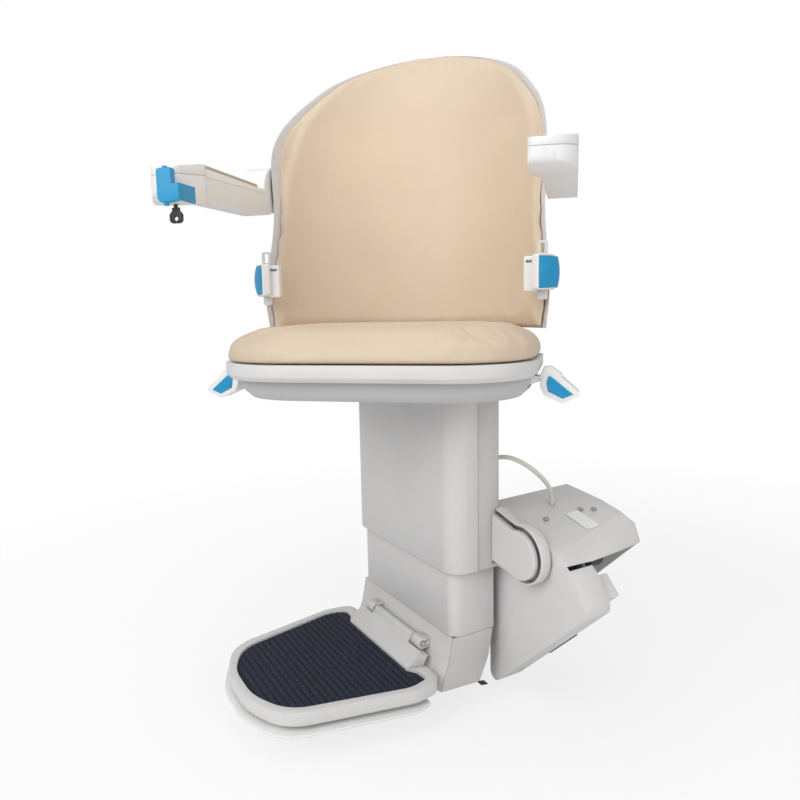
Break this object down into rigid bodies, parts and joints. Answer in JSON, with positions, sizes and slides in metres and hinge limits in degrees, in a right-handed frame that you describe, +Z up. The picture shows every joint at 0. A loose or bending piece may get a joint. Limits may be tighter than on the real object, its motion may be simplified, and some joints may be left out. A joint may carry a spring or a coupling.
{
  "type": "stairlift chair",
  "caption": "Stairlift chair with curved backrest, folding arms and seat, swivel lever, folding footrest, and a carriage that rides a sloping tube rail.",
  "frame": {"origin": "on the rail tube's axis, at the middle of the sliding shoe's bore station (136 mm up the rail from the chair's middle line)", "axes": "+X level, up the stairs in the rail's plane; +Y towards the wall behind the chair; +Z up. The rail rises 43.6 degrees from +X."},
  "size_m": [0.5799, 0.6092, 1.0063],
  "materials": {
    "leather": "soft beige upholstery with fine grain",
    "shell_grey": "light grey moulded covers, fine matte texture",
    "tub_grey": "mid grey moulded tub, fine matte texture",
    "side_tint": "warm grey side covers",
    "white": "off-white mouldings, satin",
    "pad_beige": "soft arm pads",
    "blue": "azure touch points",
    "black": "black fittings",
    "mat": "dark ribbed footrest mat",
    "steel": "grey powder coated steel",
    "bare_steel": "bright steel shafts",
    "shoe": "dark sliding polymer",
    "tyre": "polymer rollers",
    "board": "circuit board",
    "cable_white": "cream cable sheath",
    "screw": "zinc plated screws",
    "label": "blank label plate"
  },
  "bodies": {
    "carriage": {"chassis": "steel", "carriage_front_cover": "shell_grey", "carriage_lid": "shell_grey", "lid_screws": "screw", "blank_label": "label", "axle_bearings": "bare_steel", "rail_shoe": "shoe", "rail_hook": "shell_grey", "drive_gearbox": "steel", "drive_motor": "steel", "roller_pins": "bare_steel", "batteries": "black", "control_board": "board", "cable": "cable_white"},
    "pinion": {"drive_pinion": "bare_steel"},
    "roller_low": {"guide_roller_low": "tyre"},
    "roller_high": {"guide_roller_high": "tyre"},
    "column": {"column_front_cover": "shell_grey", "column_rear_cover": "side_tint", "column_lower_cover": "shell_grey", "column_toe_cover": "shell_grey", "column_side_caps": "side_tint", "column_post": "steel", "column_head": "steel", "levelling_arm": "bare_steel", "lobe_front_shell": "shell_grey", "lobe_rear_shell": "shell_grey", "foot_clip": "black", "hinge_lugs": "shell_grey", "hinge_pin": "bare_steel"},
    "footrest": {"footrest_tray": "shell_grey", "footrest_mat": "mat"},
    "safety": {"safety_plate": "white"},
    "seat": {"swivel_plate": "steel", "seat_frame": "steel", "lever_bearings": "steel", "seat_base_tub": "tub_grey", "back_frame": "steel", "back_cushion": "leather", "back_shell": "shell_grey", "belt_plates": "shell_grey", "belt_housings": "white"},
    "latch": {"latch_pin": "bare_steel"},
    "lever_left": {"lever_left": "white", "lever_left_inlay": "blue"},
    "lever_right": {"lever_right": "white", "lever_right_inlay": "blue"},
    "button_left": {"belt_button_left": "blue"},
    "button_right": {"belt_button_right": "blue"},
    "runners": {"seat_runners": "steel"},
    "pad": {"seat_tray": "shell_grey", "seat_cushion": "leather"},
    "arm_left": {"arm_left_lower": "white", "arm_left_upper": "white", "arm_left_pad": "pad_beige"},
    "arm_right": {"arm_right_lower": "white", "arm_right_upper": "white", "arm_right_pad": "pad_beige"},
    "joystick": {"joystick": "blue"},
    "key": {"key": "black"}
  },
  "joints": [
    {"name": "levelling", "type": "hinge", "parent": "carriage", "child": "column", "pos_m": [0.05262, -0.096, 0.14245], "axis": [0, 1, 0], "range_deg": [-44, 12], "deforming": ["cable"]},
    {"name": "pinion_spin", "type": "hinge", "parent": "carriage", "child": "pinion", "pos_m": [0.01925, 0, 0.0929], "axis": [0, 1, 0], "continuous": true},
    {"name": "roller_low_spin", "type": "hinge", "parent": "carriage", "child": "roller_low", "pos_m": [-0.00138, 0, 0.05945], "axis": [0, 1, 0], "continuous": true},
    {"name": "roller_high_spin", "type": "hinge", "parent": "carriage", "child": "roller_high", "pos_m": [0.05366, 0, 0.11186], "axis": [0, 1, 0], "continuous": true},
    {"name": "footrest_fold", "type": "hinge", "parent": "column", "child": "footrest", "pos_m": [-0.15538, -0.222, -0.01854], "axis": [-1, 0, 0], "range_deg": [0, 90]},
    {"name": "safety_lift", "type": "slide", "parent": "footrest", "child": "safety", "axis": [0, 0, 1], "range_m": [0, 0.005], "stiffness_N_per_m": 1500},
    {"name": "seat_swivel", "type": "hinge", "parent": "column", "child": "seat", "pos_m": [-0.16338, -0.178, 0.37045], "axis": [0, 0, 1], "range_deg": [-45, 45]},
    {"name": "latch_lift", "type": "slide", "parent": "seat", "child": "latch", "axis": [0, 0, 1], "range_m": [0, 0.0073]},
    {"name": "lever_left_turn", "type": "hinge", "parent": "seat", "child": "lever_left", "pos_m": [-0.17084, -0.41945, 0.38945], "axis": [0.7071, -0.7071, 0], "range_deg": [0, 15], "stiffness_Nm_per_rad": 2},
    {"name": "lever_right_turn", "type": "hinge", "parent": "seat", "child": "lever_right", "pos_m": [0.07806, -0.17054, 0.38945], "axis": [-0.7071, 0.7071, 0], "range_deg": [0, 15]},
    {"name": "button_left_press", "type": "slide", "parent": "seat", "child": "button_left", "axis": [0.0872, 0.9962, 0], "range_m": [0, 0.003], "stiffness_N_per_m": 800},
    {"name": "button_right_press", "type": "slide", "parent": "seat", "child": "button_right", "axis": [-0.9962, -0.0872, 0], "range_m": [0, 0.003], "stiffness_N_per_m": 800},
    {"name": "runner_slide", "type": "slide", "parent": "seat", "child": "runners", "axis": [0.7071, -0.7071, 0], "range_m": [0, 0.14]},
    {"name": "seat_fold", "type": "hinge", "parent": "runners", "child": "pad", "pos_m": [-0.16659, -0.17479, 0.41046], "axis": [-0.7071, -0.7071, 0], "range_deg": [0, 84]},
    {"name": "arm_left_fold", "type": "hinge", "parent": "seat", "child": "arm_left", "pos_m": [-0.30872, -0.35934, 0.67346], "axis": [-0.7071, -0.7071, 0], "range_deg": [0, 92]},
    {"name": "arm_right_fold", "type": "hinge", "parent": "seat", "child": "arm_right", "pos_m": [0.01796, -0.03266, 0.67346], "axis": [-0.7071, -0.7071, 0], "range_deg": [0, 92]},
    {"name": "joystick_turn", "type": "hinge", "parent": "arm_left", "child": "joystick", "pos_m": [-0.08386, -0.55592, 0.64145], "axis": [0, 0, 1], "range_deg": [-4, 4], "stiffness_Nm_per_rad": 1},
    {"name": "key_turn", "type": "hinge", "parent": "arm_left", "child": "key", "pos_m": [-0.12629, -0.53612, 0.61545], "axis": [0, 0, 1], "range_deg": [0, 90]}
  ],
  "couplings": [
    {"joint": "latch_lift", "follows": "lever_left_turn", "m_per_rad": 0.0275},
    {"joint": "lever_right_turn", "follows": "lever_left_turn", "ratio": 1},
    {"joint": "runner_slide", "follows": "seat_fold", "m_per_rad": 0.095425}
  ]
}
